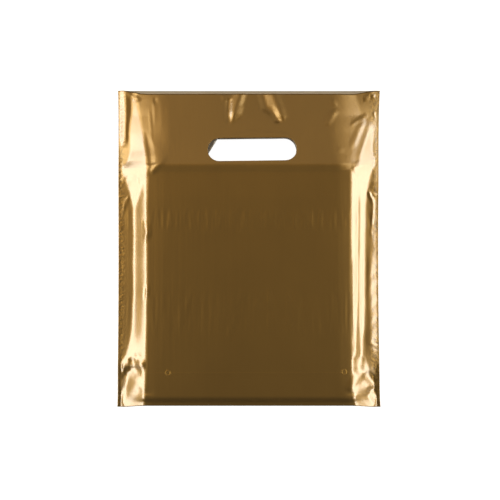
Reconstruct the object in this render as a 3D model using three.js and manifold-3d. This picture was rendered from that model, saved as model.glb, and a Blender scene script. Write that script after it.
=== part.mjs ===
// A polythene carrier bag with a punched hand slot, lying on its back as if a flat pack still filled it.
// One film is folded up from a bottom gusset and welded down both sides, so the bag is one closed solid.
// Millimetres, +Z up, +X across, +Y towards the mouth. The origin is the middle of the footprint, on the table.
// A place on the film is given by its drop below the mouth and its inset from the nearer side seam.
import * as THREE from "three";
import { mergeVertices } from "three/addons/utils/BufferGeometryUtils.js";
import Module from "manifold-3d";

// Overall sizes of the bag as it lies
const bagWidth = 250.6;
const bagLength = 303.4;
const bagHeight = 26;
const gussetDepth = 38;

// Film and welds
const film = 0.6;
const layerGap = 0.35;
const weldWidth = 3;

// Side seams: height at the mouth, beside the panel and at the foot, and how far each one bows in
const seamHeightMouth = 3.4;
const seamHeightMiddle = 11.5;
const seamHeightFoot = 8;
const seamBowLeft = 1.6;
const seamBowRight = 2.8;
const seamBowShape = 0.6;
const seamRunOut = 34;

// The raised flat panel: distances from the mouth, the foot and the two seams
const panelDrop = 70.5;
const panelRise = 12.5;
const panelInsetLeft = 32.4;
const panelInsetRight = 28;

// The band between the panel and the mouth
const mouthHeight = 9;
const bandHeight = 17;
const bandDrop = 46;
const bendHeight = 19.8;
const bendRun = 12.5;
const mouthSag = 3.7;
const mouthSagRun = 26;

// The lip along the bottom fold
const lipHeight = 18.8;
const lipRoot = 20.2;
const lipLength = 4.6;
const lipUnderside = 1;
const lipSag = 1.6;

// Side walls
const flangeRise = 1.5;
const shoulderSpread = 17;
const shoulderEase = 2.2;
const edgeRounding = 1;
const backRun = 30;
const backCurl = 1.35;
const bendRadius = 2.4;
const wallRadius = 1.3;
const slopeStep = 1.2;
const mostStretch = 2.2;

// Hand slot, punched through both walls while the bag lay flat
const slotLength = 84;
const slotWidth = 21.8;
const slotDrop = 57.3;
const slotOffset = 3.1;
const slotTilt = THREE.MathUtils.degToRad(0.7);
const slotSlope = THREE.MathUtils.degToRad(22);
const slotStretch = 0.9;
const slotFoldAcross = 8.6;
const slotFoldDown = 13.6;
const slotFoldRise = 1;
const slotSplitHeight = 5;
const cutterOvershoot = 10;

// Mesh steps, and the lengths that they are spread over
const sideSteps = 11;
const pleatZone = 76;
const bendMargin = 2;
const panelMargin = 1;
const pinchZone = 19;
const outerPanelSteps = 3;
const pleatSteps = 9;
const backStride = 3;
const slotArcSteps = 12;

// Where each side wall turns: the foot of its slope and the edge at its top, as [drop, inset]
const leftWall = {
  foot: [
    [0, 13], [23, 13.3], [39, 10.4], [58, 12.6], [68, 10.4], [76, 5.6], [84, 5.4], [112, 16.2],
    [200, 16.5], [224, 14.3], [243, 10.5], [255, 7.1], [270, 9.2], [290, 8], [303, 5],
  ],
  edge: [
    [0, 16], [20, 20.6], [39, 23.8], [56, 27.4], [70.5, 32.4], [243, 32.4], [272, 29.6], [303, 27.5],
  ],
};
const rightWall = {
  foot: [
    [0, 6], [36, 5.1], [50, 7.1], [69, 3.6], [83, 9.5], [110, 13.3], [200, 14.8], [251, 16.7],
    [274, 9.4], [281, 5], [290, 14], [303, 5],
  ],
  edge: [
    [0, 10], [24, 13], [70.5, 27.6], [80, 28], [281, 28], [303, 24],
  ],
};

// Creases in the front wall: a line of [inset, drop] points, how far it stands out or sinks, and its half width
const creases = [
  { name: "left pinch ridge", from: "left", line: [[4, 76], [18, 79.5], [32, 78]], rise: 2, reach: 4.5 },
  { name: "left pinch valley", from: "left", line: [[5, 71], [16, 72.5], [26, 70]], rise: -1.4, reach: 4 },
  { name: "left dimple", from: "left", line: [[11, 86.5], [19.5, 89]], rise: -2.2, reach: 4 },
  { name: "left corner valley", from: "left", line: [[29, 46], [33.5, 76]], rise: -1.6, reach: 4.5 },
  { name: "left shoulder ridge", from: "left", line: [[34, 76], [46, 63]], rise: 1.2, reach: 5 },
  { name: "left outer streak", from: "left", line: [[17, 108], [17.6, 200], [18, 236]], rise: 1.5, reach: 3.4 },
  { name: "left inner streak", from: "left", line: [[27.6, 94], [28.4, 131], [28, 190], [26.6, 232]], rise: 1.6, reach: 3.6 },
  { name: "left groove", from: "left", line: [[22.6, 112], [22.9, 230]], rise: -1.6, reach: 3.2 },
  { name: "left kink", from: "left", line: [[26, 131], [31.5, 134.5], [25.5, 141]], rise: 1.6, reach: 3.4 },
  { name: "left hook", from: "left", line: [[4, 265], [11, 259], [20, 260.5], [27, 257]], rise: 2.2, reach: 4.5 },
  { name: "left slit", from: "left", line: [[17.5, 249], [22, 258]], rise: -2, reach: 3.4 },
  { name: "left ear ridge", from: "left", line: [[4, 299], [13, 287], [22.5, 271]], rise: 1.9, reach: 5 },
  { name: "right shoulder valley", from: "right", line: [[13, 24], [21, 50], [27.6, 76]], rise: -1.6, reach: 5 },
  { name: "right pinch ridge", from: "right", line: [[3.5, 69], [14, 72], [27, 79]], rise: 1.6, reach: 4 },
  { name: "right streak", from: "right", line: [[21.4, 98], [20.6, 190], [23.6, 256]], rise: 1.5, reach: 3.4 },
  { name: "right groove", from: "right", line: [[12.4, 96], [13.4, 200], [17, 250]], rise: -1.8, reach: 4 },
  { name: "right seam ripple", from: "right", line: [[8.6, 108], [7, 150], [8.4, 205], [6.8, 246]], rise: 1.3, reach: 3.4 },
  { name: "right knot ridge", from: "right", line: [[29, 281], [22.5, 273], [17, 266]], rise: 1.8, reach: 4.5 },
  { name: "right knot valley", from: "right", line: [[4, 280], [9.5, 274], [16, 268]], rise: -1.8, reach: 4 },
  { name: "right ear ridge", from: "right", line: [[4, 299], [16, 289], [27, 284]], rise: 1.9, reach: 5 },
  { name: "left pleat", from: "middle", line: [[-13, 0], [-18.5, 31]], rise: -2, reach: 7 },
  { name: "right pleat", from: "middle", line: [[14, 0], [24, 18], [31.5, 30]], rise: 2.4, reach: 7.5 },
];

const halfWidth = bagWidth / 2;
const mouthY = bagLength / 2;
const panelEnd = bagLength - panelRise;
const foldDrop = bagLength;
const gussetDrop = bagLength - gussetDepth;
const layerPitch = film + layerGap;
const tiny = 0.001;

// Rows of the mesh down the front, as drops below the mouth
const rowRuns = [
  { to: panelDrop - bendRun - bendMargin, steps: 9 },
  { to: panelDrop + panelMargin, steps: 4 },
  { to: panelDrop + pinchZone, steps: 5 },
  { to: gussetDrop, steps: 13 },
  { to: panelEnd - panelMargin, steps: 4 },
  { to: foldDrop - lipLength, steps: 3 },
  { to: foldDrop, steps: 2 },
];

// Plain helpers
function clamp01(value) {
  return Math.min(1, Math.max(0, value));
}

function smooth(value) {
  const t = clamp01(value);
  return t * t * (3 - 2 * t);
}

function lineAt(knots, at) {
  let low = knots[0];
  for (const high of knots) {
    if (at <= high[0] && high[0] > low[0]) {
      const share = clamp01((at - low[0]) / (high[0] - low[0]));
      return low[1] + share * (high[1] - low[1]);
    }
    low = high;
  }
  return low[1];
}

function roundedLineAt(knots, at, radius) {
  const outer = lineAt(knots, at - radius) + lineAt(knots, at + radius);
  return (outer + 2 * lineAt(knots, at)) / 4;
}

function evenSteps(low, high, steps) {
  return Array.from({ length: steps }, (_, i) => low + ((i + 1) * (high - low)) / steps);
}

// Seams and edges
function seamBow(bow, drop) {
  return bow * Math.sin(Math.PI * clamp01(drop / bagLength)) ** seamBowShape;
}

function leftSeamX(drop) {
  return -halfWidth + seamBow(seamBowLeft, drop);
}

function rightSeamX(drop) {
  return halfWidth - seamBow(seamBowRight, drop);
}

function seamHeight(drop) {
  const nearMouth = smooth(drop / (panelDrop + seamRunOut / 2));
  const nearFoot = smooth((bagLength - drop) / seamRunOut);
  const raised = seamHeightMouth + (seamHeightMiddle - seamHeightMouth) * nearMouth;
  return seamHeightFoot + (raised - seamHeightFoot) * nearFoot;
}

function insetAt(x, drop) {
  return Math.min(x - leftSeamX(drop), rightSeamX(drop) - x);
}

function yOfBack(x, drop) {
  const towardsMiddle = smooth((insetAt(x, drop) - weldWidth) / mouthSagRun);
  return mouthY - drop + lipSag * towardsMiddle * smooth((drop - panelEnd) / panelRise);
}

function yOfFront(x, drop) {
  const towardsMiddle = smooth((insetAt(x, drop) - weldWidth) / mouthSagRun);
  return yOfBack(x, drop) - mouthSag * towardsMiddle * (1 - smooth(drop / panelDrop));
}

// Height of the front wall along the middle of the bag
function crownHeight(drop) {
  const knots = [
    [0, mouthHeight],
    [bandDrop, bandHeight],
    [panelDrop - bendRun, bendHeight],
    [panelDrop, bagHeight - film / 2],
    [panelEnd, bagHeight - film / 2],
    [foldDrop - lipLength, lipRoot],
    [foldDrop, lipHeight],
  ];
  const radius = drop > panelEnd - bendRadius ? wallRadius : bendRadius;
  return roundedLineAt(knots, drop, radius);
}

function nearerSide(x, drop) {
  const fromLeft = x - leftSeamX(drop);
  const fromRight = rightSeamX(drop) - x;
  return fromLeft < fromRight
    ? { wall: leftWall, inset: fromLeft }
    : { wall: rightWall, inset: fromRight };
}

// Height of the front wall with its two side slopes, before its creases
function wallHeight(x, drop) {
  const { wall, inset } = nearerSide(x, drop);
  const crown = crownHeight(drop);
  const seam = seamHeight(drop) + film;
  const nearMouth = 1 - smooth(drop / panelDrop);
  const edge = lineAt(wall.edge, drop);
  const knots = [
    [weldWidth, seam],
    [lineAt(wall.foot, drop), seam + Math.min(flangeRise, (crown - seam) / 3)],
    [edge, crown - shoulderEase * nearMouth],
    [edge + edgeRounding + shoulderSpread * nearMouth, crown],
  ];
  return roundedLineAt(knots, inset, wallRadius);
}

// How far a crease lifts the point: a tent across its line that fades out past its two ends
function creaseLift(crease, place) {
  let nearest = Infinity;
  const pairs = crease.line.slice(1).map((end, i) => [crease.line[i], end]);
  for (const [start, end] of pairs) {
    const along = [end[0] - start[0], end[1] - start[1]];
    const offset = [place[0] - start[0], place[1] - start[1]];
    const share = clamp01((offset[0] * along[0] + offset[1] * along[1]) / (along[0] ** 2 + along[1] ** 2));
    nearest = Math.min(nearest, Math.hypot(offset[0] - share * along[0], offset[1] - share * along[1]));
  }
  return crease.rise * Math.max(0, 1 - nearest / crease.reach);
}

function reliefHeight(x, drop) {
  const fromLeft = x - leftSeamX(drop);
  const fromRight = rightSeamX(drop) - x;
  const across = { left: fromLeft, right: fromRight, middle: x };
  const clearOfWeld = smooth((Math.min(fromLeft, fromRight) - weldWidth) / weldWidth);
  const total = creases.reduce((sum, crease) => sum + creaseLift(crease, [across[crease.from], drop]), 0);
  return total * clearOfWeld;
}

function frontHeight(x, drop) {
  return Math.min(wallHeight(x, drop) + reliefHeight(x, drop), bagHeight - film / 2);
}

// Height of the back wall: flat on the table, curled up to the seams and to the bottom fold
function backHeight(x, drop) {
  const inset = insetAt(x, drop);
  const seam = seamHeight(drop) - film;
  const rise = (1 - clamp01((inset - weldWidth) / backRun)) ** backCurl;
  const lowerFold = lipHeight - 3 * layerPitch;
  const knots = [
    [panelEnd, 0],
    [foldDrop - lipLength, lowerFold - lipUnderside],
    [foldDrop, lowerFold],
  ];
  const foot = roundedLineAt(knots, drop, wallRadius);
  return film / 2 + foot + rise * (seam - film / 2 - foot);
}

// How much longer the film is than its plan at a place, because it slopes
function slopeStretch(heightAt, x, drop) {
  const across = (heightAt(x + slopeStep, drop) - heightAt(x - slopeStep, drop)) / (2 * slopeStep);
  const along = (heightAt(x, drop + slopeStep) - heightAt(x, drop - slopeStep)) / (2 * slopeStep);
  return Math.min(mostStretch, Math.hypot(1, across, along));
}

// The four layers of the folded film, from the front wall down to the back wall.
// outward is +1 where the outside of the bag is above the layer and -1 where it is below.
const layers = {
  front: { depth: 0, outward: 1, back: false },
  gussetFront: { depth: 1, outward: -1, back: false },
  gussetBack: { depth: 2, outward: 1, back: false },
  back: { depth: 3, outward: -1, back: true },
};

// A point on one face of a layer inside the welds. shift slides it along Y to close a fold.
// All layers stand over the same plan, so where the walls come close they share the room between them.
function facePoint(layer, outside, x, drop, shift) {
  const heightAt = layer.back ? backHeight : wallHeight;
  const stretch = slopeStretch(heightAt, x, drop);
  const front = frontHeight(x, drop);
  const room = (front - backHeight(x, drop)) / 3;
  const pitch = Math.min(layerPitch * stretch, room);
  const middle = layer.back ? backHeight(x, drop) : front - layer.depth * pitch;
  const halfFilm = Math.min((film / 2) * stretch, 0.4 * room);
  const z = Math.min(bagHeight, middle + (outside ? 1 : -1) * layer.outward * halfFilm);
  const yAt = layer.back ? yOfBack : yOfFront;
  return new THREE.Vector3(x, yAt(x, drop) + shift, z);
}

// A point in the weld, where the layers are fused: two thick above the gusset and four beside it
function weldPoint(layer, outside, x, drop, shift) {
  const layersHere = drop > gussetDrop - tiny ? 4 : 2;
  const above = layersHere === 4 ? 2 - layer.depth : layer.back ? 0 : 1;
  const face = above + (((outside ? 1 : -1) * layer.outward) - 1) / 2;
  const z = seamHeight(drop) + face * film;
  const yAt = layer.back ? yOfBack : yOfFront;
  return new THREE.Vector3(x, yAt(x, drop) + shift, z);
}

// Drops of the rows and places of the columns
function rowDrops() {
  const drops = [0];
  for (const run of rowRuns) drops.push(...evenSteps(drops[drops.length - 1], run.to, run.steps));
  return drops;
}

function columnPlaces(drop) {
  const left = leftSeamX(drop) + weldWidth;
  const right = rightSeamX(drop) - weldWidth;
  const panelLeft = leftSeamX(drop) + panelInsetLeft;
  const panelRight = rightSeamX(drop) - panelInsetRight;
  const places = [left];
  const runs = [
    [panelLeft, sideSteps],
    [-pleatZone / 2, outerPanelSteps],
    [pleatZone / 2, pleatSteps],
    [panelRight, outerPanelSteps],
    [right, sideSteps],
  ];
  for (const [to, steps] of runs) places.push(...evenSteps(places[places.length - 1], to, steps));
  return places;
}

// One row of points across a face of a layer, from weld to weld
function faceRow(layer, outside, drop, shift = 0) {
  const places = columnPlaces(drop);
  const last = places.length - 1;
  return places.map((x, i) =>
    i === 0 || i === last ? weldPoint(layer, outside, x, drop, shift) : facePoint(layer, outside, x, drop, shift),
  );
}

// The plain back wall keeps only some of the columns: the panel's two edges and every third from them
function keptColumns(count) {
  const all = Array.from({ length: count }, (_, i) => i);
  return all.filter((i) => (i - sideSteps) % backStride === 0 || i === 0 || i === count - 1);
}

function coarseRow(row) {
  return keptColumns(row.length).map((i) => row[i]);
}

// The growing list of triangles
const triangles = [];

function addTriangle(a, b, c) {
  const thin = a.distanceTo(b) < 1e-5 || b.distanceTo(c) < 1e-5 || c.distanceTo(a) < 1e-5;
  if (!thin) triangles.push(a, b, c);
}

function addFan(points) {
  for (let i = 1; i < points.length - 1; i++) addTriangle(points[0], points[i], points[i + 1]);
}

// upward joins rows that run from the foot to the mouth, and splits each four-sided face the same way
function joinRows(upper, lower, upward = false) {
  for (let i = 0; i < upper.length - 1; i++) {
    if (upward) {
      addTriangle(upper[i], lower[i], upper[i + 1]);
      addTriangle(upper[i + 1], lower[i], lower[i + 1]);
    } else {
      addTriangle(upper[i], lower[i], lower[i + 1]);
      addTriangle(upper[i], lower[i + 1], upper[i + 1]);
    }
  }
}

function joinFineToCoarse(fine, coarse) {
  const kept = keptColumns(fine.length);
  for (let k = 0; k < coarse.length - 1; k++) {
    const middle = Math.floor((kept[k] + kept[k + 1]) / 2);
    for (let i = kept[k]; i < middle; i++) addTriangle(fine[i], coarse[k], fine[i + 1]);
    addTriangle(fine[middle], coarse[k], coarse[k + 1]);
    for (let i = middle; i < kept[k + 1]; i++) addTriangle(fine[i], coarse[k + 1], fine[i + 1]);
  }
}

function joinAll(rows, upward = false) {
  for (let i = 0; i < rows.length - 1; i++) joinRows(rows[i], rows[i + 1], upward);
}

// One face of the whole film, from the front of the mouth round the gusset to the back of the mouth
function filmFace(outside) {
  const drops = rowDrops();
  const gussetRows = drops.filter((drop) => drop > gussetDrop - tiny);
  const foldShift = outside ? 0 : film;
  const noseShift = outside ? -film : 0;
  const shiftAt = (drop, atGusset) => {
    if (drop > foldDrop - tiny) return foldShift;
    return atGusset && drop === gussetRows[0] ? noseShift : 0;
  };
  const front = drops.map((drop) => faceRow(layers.front, outside, drop, shiftAt(drop, false)));
  const down = gussetRows.map((drop) => faceRow(layers.gussetBack, outside, drop, shiftAt(drop, true)));
  const up = gussetRows.map((drop) => faceRow(layers.gussetFront, outside, drop, shiftAt(drop, true))).reverse();
  const back = drops.map((drop) => coarseRow(faceRow(layers.back, outside, drop, shiftAt(drop, false)))).reverse();
  return { front, up, down, back };
}

function addFilmFace({ front, up, down, back }) {
  joinAll(front);
  joinRows(front[front.length - 1], up[0]);
  joinAll(up, true);
  joinRows(up[up.length - 1], down[0]);
  joinAll(down);
  joinFineToCoarse(down[down.length - 1], back[0]);
  joinAll(back, true);
}

// The weld strip down one side: its front and back faces, its outer edge and its two ends
function seamStrip(outside, inside, atLeft) {
  const drops = rowDrops();
  const seamX = atLeft ? leftSeamX : rightSeamX;
  const backRows = [...outside.back].reverse();
  const pick = (row) => (atLeft ? row[0] : row[row.length - 1]);
  const frontEdge = drops.map((drop) => weldPoint(layers.front, true, seamX(drop), drop, 0));
  const backEdge = drops.map((drop) => weldPoint(layers.back, true, seamX(drop), drop, 0));
  const frontWeld = outside.front.map(pick);
  const backWeld = backRows.map(pick);
  const pair = (edge, weld) => (atLeft ? [edge, weld] : [weld, edge]);
  const last = drops.length - 1;
  const gussetMiddle = pick(outside.up[0]);
  const mouthInside = pick(inside.front[0]);
  for (let i = 0; i < last; i++) {
    joinRows(pair(frontEdge[i], frontWeld[i]), pair(frontEdge[i + 1], frontWeld[i + 1]));
    joinRows(pair(backEdge[i + 1], backWeld[i + 1]), pair(backEdge[i], backWeld[i]));
    joinRows(pair(backEdge[i], frontEdge[i]), pair(backEdge[i + 1], frontEdge[i + 1]));
  }
  const mouthEnd = [frontEdge[0], frontWeld[0], mouthInside, backWeld[0], backEdge[0]];
  const footEnd = [backEdge[last], backWeld[last], gussetMiddle, frontWeld[last], frontEdge[last]];
  addFan(atLeft ? mouthEnd : mouthEnd.reverse());
  addFan(atLeft ? footEnd : footEnd.reverse());
}

// Inside the bag, the small face where the two-layer weld becomes the four-layer weld
function weldStep(inside, atLeft) {
  const row = rowDrops().findIndex((drop) => drop > gussetDrop - tiny);
  const backRows = [...inside.back].reverse();
  const pick = (rows, i) => (atLeft ? rows[i][0] : rows[i][rows[i].length - 1]);
  const step = [pick(inside.front, row - 1), pick(inside.front, row), pick(backRows, row)];
  addFan(atLeft ? step : step.reverse());
}

function filmGeometry() {
  triangles.length = 0;
  const outside = filmFace(true);
  const inside = filmFace(false);
  addFilmFace(outside);
  const outerCount = triangles.length;
  addFilmFace(inside);
  for (let i = outerCount; i < triangles.length; i += 3) {
    [triangles[i + 1], triangles[i + 2]] = [triangles[i + 2], triangles[i + 1]];
  }
  joinRows(inside.front[0], outside.front[0]);
  joinRows(outside.back[outside.back.length - 1], inside.back[inside.back.length - 1]);
  for (const atLeft of [true, false]) {
    seamStrip(outside, inside, atLeft);
    weldStep(inside, atLeft);
  }
  return mergeVertices(new THREE.BufferGeometry().setFromPoints(triangles), 1e-4);
}

// Hand slot: a rounded cutter for the front wall and one for the back wall, whose left end is folded over
function slotShape(width) {
  const straight = slotLength / 2 - width / 2;
  const shape = new THREE.Shape();
  shape.absarc(straight, 0, width / 2, -Math.PI / 2, Math.PI / 2);
  shape.absarc(-straight, 0, width / 2, Math.PI / 2, (3 * Math.PI) / 2);
  shape.closePath();
  return shape;
}

function foldedSlotShape(width) {
  const straight = slotLength / 2 - width / 2;
  const shape = new THREE.Shape();
  shape.absarc(straight, 0, width / 2, -Math.PI / 2, Math.PI / 2);
  shape.lineTo(-slotLength / 2 + slotFoldAcross, width / 2);
  shape.lineTo(-slotLength / 2, width / 2 - slotFoldDown);
  shape.lineTo(-straight - width / 4, -width / 2 + slotFoldRise);
  shape.lineTo(-straight, -width / 2);
  shape.closePath();
  return shape;
}

function slotCutter(shape, low, high) {
  const geometry = new THREE.ExtrudeGeometry(shape, {
    depth: high - low,
    bevelEnabled: false,
    curveSegments: slotArcSteps,
  });
  geometry.rotateZ(slotTilt);
  geometry.translate(slotOffset, mouthY - slotDrop, low);
  return geometry;
}

// Joins and cuts
const wasm = await Module();
wasm.setup();

function solidOf(geometry) {
  const plain = geometry.clone();
  plain.deleteAttribute("normal");
  plain.deleteAttribute("uv");
  const merged = mergeVertices(plain, 1e-4);
  const triVerts = new Uint32Array(merged.index.array);
  const vertProperties = new Float32Array(merged.attributes.position.array);
  return new wasm.Manifold(new wasm.Mesh({ numProp: 3, vertProperties, triVerts }));
}

function geometryOf(solid) {
  const { vertProperties, triVerts } = solid.getMesh();
  return new THREE.BufferGeometry()
    .setAttribute("position", new THREE.BufferAttribute(vertProperties, 3))
    .setIndex(new THREE.BufferAttribute(triVerts, 1));
}

function bagGeometry() {
  const frontSlot = slotShape(slotWidth * Math.cos(slotSlope));
  const backSlot = foldedSlotShape(slotWidth + slotStretch);
  const cutters = [
    slotCutter(frontSlot, slotSplitHeight, bagHeight + cutterOvershoot),
    slotCutter(backSlot, -cutterOvershoot, slotSplitHeight),
  ];
  return geometryOf(cutters.reduce((solid, cutter) => solid.subtract(solidOf(cutter)), solidOf(filmGeometry())));
}

const bag = new THREE.Mesh(
  bagGeometry(),
  new THREE.MeshStandardMaterial({ color: 0xa37a3c, roughness: 0.28, metalness: 0.85 }),
);
bag.name = "bag";

const part = new THREE.Group();
part.add(bag);
export default part;
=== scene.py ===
"""A gold polythene carrier bag with a punched hand slot, lying on its back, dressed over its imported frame.

A place on the film is given in millimetres: its drop below the mouth and its inset from a side seam.
The sheets are shaped in millimetres and brought to metres as their meshes are finished.
"""

import logging
import math
from collections.abc import Callable, Sequence
from dataclasses import dataclass, field
from enum import Enum

import bmesh
import bpy
import numpy as np
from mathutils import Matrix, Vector


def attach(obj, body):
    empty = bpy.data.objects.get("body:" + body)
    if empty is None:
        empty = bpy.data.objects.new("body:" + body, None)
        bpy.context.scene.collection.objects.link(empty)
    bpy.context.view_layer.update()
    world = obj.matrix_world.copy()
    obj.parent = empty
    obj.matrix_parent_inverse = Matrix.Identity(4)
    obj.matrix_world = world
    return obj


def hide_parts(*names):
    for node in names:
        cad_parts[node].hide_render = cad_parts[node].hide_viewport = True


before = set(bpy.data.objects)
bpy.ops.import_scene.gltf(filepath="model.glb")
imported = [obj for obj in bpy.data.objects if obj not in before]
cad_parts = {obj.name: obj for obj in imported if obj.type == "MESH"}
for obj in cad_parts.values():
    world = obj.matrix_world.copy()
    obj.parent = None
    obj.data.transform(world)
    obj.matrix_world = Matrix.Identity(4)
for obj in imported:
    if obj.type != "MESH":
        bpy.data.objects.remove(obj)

LOG = logging.getLogger("carrier bag")
METRE = 0.001

# The two waves of an uneven line: strength, length in millimetres and how far a seed shifts it
SWAYS = ((0.6, 7.3, 2.1), (0.4, 3.1, 4.7))

Points = Sequence[tuple[float, float]]
Rows = Sequence[Sequence[float]]
Pair = tuple[float, float]
Triple = tuple[float, float, float]
Array = np.ndarray
Sheet = bmesh.types.BMesh
Socket = bpy.types.NodeSocket
Material = bpy.types.Material


class Side(Enum):
    """The seam that a crease is measured from, or the middle of the bag."""

    LEFT = "left"
    RIGHT = "right"
    MIDDLE = "middle"


class Layer(Enum):
    """The film's layers at the foot, counted down from the front wall."""

    FRONT = 0
    GUSSET_FRONT = 1
    GUSSET_BACK = 2
    BACK = 3


# Half way between the gusset's lower layer and the back wall
BACK_FROM = (Layer.GUSSET_BACK.value + Layer.BACK.value) / 2


def smooth(value: Array) -> Array:
    """A soft step from 0 to 1."""
    share = np.clip(value, 0, 1)
    return share * share * (3 - 2 * share)


def line_at(points: Rows, at: Array, column: int = 1) -> Array:
    """The straight-line value of one column of points at places along their first column."""
    return np.interp(at, [p[0] for p in points], [p[column] for p in points])


def section(places: Sequence[Array], heights: Sequence[Array], at: Array, least_run: float = 0.05) -> Array:
    """Height of a broken line across the bag, whose corners differ from row to row.

    Args:
        places: where each corner is, one array a corner.
        heights: how high each corner is.
        at: the places to read.
        least_run: the shortest way from a corner to the next.

    Returns:
        The height at each place.
    """
    total = heights[0] + np.zeros_like(at)
    for i in range(len(places) - 1):
        run = np.maximum(places[i + 1] - places[i], least_run)
        total = total + (heights[i + 1] - heights[i]) * np.clip((at - places[i]) / run, 0, 1)
    return total


def sway(drop: Array, seed: float) -> Array:
    """A small uneven sway along the bag, different for each seed."""
    return sum(strength * np.sin(drop / length + shift * seed) for strength, length, shift in SWAYS)


@dataclass(frozen=True)
class Crease:
    """A fold line in the film that stands out or sinks, and fades towards its two ends.

    line holds (inset, drop) points, and reach is the crease's half width. It fades over the lengths head and
    tail. A sharp crease is a tent across its line, and a soft one a rounded swell.
    """

    side: Side
    line: Points
    rise: float
    reach: float
    head: float = 6.0
    tail: float = 6.0
    sharp: bool = False
    blunt: float = 0.5
    end_width: float = 0.4

    def lift(self, across: Array, drop: Array) -> Array:
        """How far the crease lifts the film.

        Args:
            across: inset from the crease's own side, or the place across from the middle.
            drop: drop below the mouth.

        Returns:
            The lift in millimetres, negative where the film sinks.
        """
        nearest = np.full(across.shape, np.inf)
        reached = np.zeros(across.shape)
        length = 0.0
        for start, end in zip(self.line, self.line[1:]):
            run = (end[0] - start[0], end[1] - start[1])
            offset = (across - start[0], drop - start[1])
            stretch = math.hypot(*run)
            share = np.clip((offset[0] * run[0] + offset[1] * run[1]) / stretch**2, 0, 1)
            away = np.hypot(offset[0] - share * run[0], offset[1] - share * run[1])
            reached = np.where(away < nearest, length + share * stretch, reached)
            nearest = np.minimum(nearest, away)
            length += stretch
        from_head = smooth((reached + self.blunt) / (self.head + self.blunt))
        from_tail = smooth((length - reached + self.blunt) / (self.tail + self.blunt))
        fade = from_head * from_tail
        width = self.reach * (self.end_width + (1 - self.end_width) * fade)
        near = np.maximum(0, 1 - nearest / width)
        return self.rise * fade * (near if self.sharp else smooth(near))


@dataclass(frozen=True)
class SideWall:
    """One side wall of the bag: the rails that its facets run between, from the seam to the panel.

    flange, foot and edge hold (drop, inset, share of the height between seam and crown).
    crown_at holds (drop, inset) where the slope reaches the crown.
    folds hold (drop, share of the way from foot to edge, lift) of the folds between them.
    """

    flange: Rows
    foot: Rows
    edge: Rows
    crown_at: Points
    folds: Sequence[Rows]
    seed: float
    weld_edge: float = 0.7
    foot_sway: float = 0.35
    edge_sway: float = 0.2
    fold_sway: float = 0.012
    top_easing: float = 1.5

    def height(self, inset: Array, drop: Array, seam: Array, crown: Array, shoulder: Array) -> Array:
        """Height of the wall, before its creases.

        Args:
            inset: inset from this wall's seam.
            drop: drop below the mouth.
            seam: height of the seam there.
            crown: height of the bag's middle there.
            shoulder: the same height with a rounder bend, which the facets follow.

        Returns:
            The height at each place.
        """
        foot_at = line_at(self.foot, drop) + self.foot_sway * sway(drop, self.seed)
        edge_at = line_at(self.edge, drop) + self.edge_sway * sway(drop, self.seed + 1)
        foot_share = line_at(self.foot, drop, 2)
        edge_share = line_at(self.edge, drop, 2)
        places = [np.full(drop.shape, self.weld_edge), line_at(self.flange, drop), foot_at]
        shares = [np.zeros(drop.shape), line_at(self.flange, drop, 2), foot_share]
        lifts = [np.zeros(drop.shape)] * 3
        for i, fold in enumerate(self.folds):
            across = line_at(fold, drop) + self.fold_sway * sway(drop, self.seed + 2 + i)
            places.append(foot_at + across * (edge_at - foot_at))
            shares.append(foot_share + across * (edge_share - foot_share))
            lifts.append(line_at(fold, drop, 2))
        places.append(edge_at)
        shares.append(edge_share)
        lifts.append(np.zeros(drop.shape))
        heights = [seam + share * (shoulder - seam) + lift for share, lift in zip(shares, lifts)]
        left = 1 - np.clip((inset - edge_at) / (line_at(self.crown_at, drop) - edge_at), 0, 1)
        return section(places, heights, inset) + (crown - heights[-1]) * (1 - left**self.top_easing)


@dataclass(frozen=True)
class Crimp:
    """A puckered strip along a weld, where the sealing bar has drawn the film up.

    Its wave wanders along the weld, slants inwards and carries a second, shorter wave.
    """

    side: Side
    from_drop: float
    to_drop: float
    inset: float
    depth: float
    pitch: float
    fade: float = 8.0
    full_share: float = 0.4
    wander: float = 0.9
    wander_waves: float = 3.7
    slant: float = 0.35
    second_depth: float = 0.6
    second_waves: float = 1.7
    second_shift: float = 1.3

    def lift(self, inset: Array, drop: Array) -> Array:
        """How far the puckers lift the film.

        Args:
            inset: inset from the crimp's own side.
            drop: drop below the mouth.

        Returns:
            The lift in millimetres.
        """
        along = smooth((drop - self.from_drop) / self.fade) * smooth((self.to_drop - drop) / self.fade)
        full = self.inset * self.full_share
        inwards = 1 - smooth((inset - full) / (self.inset - full))
        turn = 2 * math.pi * drop / self.pitch
        first = np.sin(turn + self.wander * np.sin(turn / self.wander_waves) + self.slant * inset)
        second = self.second_depth * np.sin(self.second_waves * turn + self.second_shift)
        return self.depth * along * inwards * (first + second)


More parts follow.
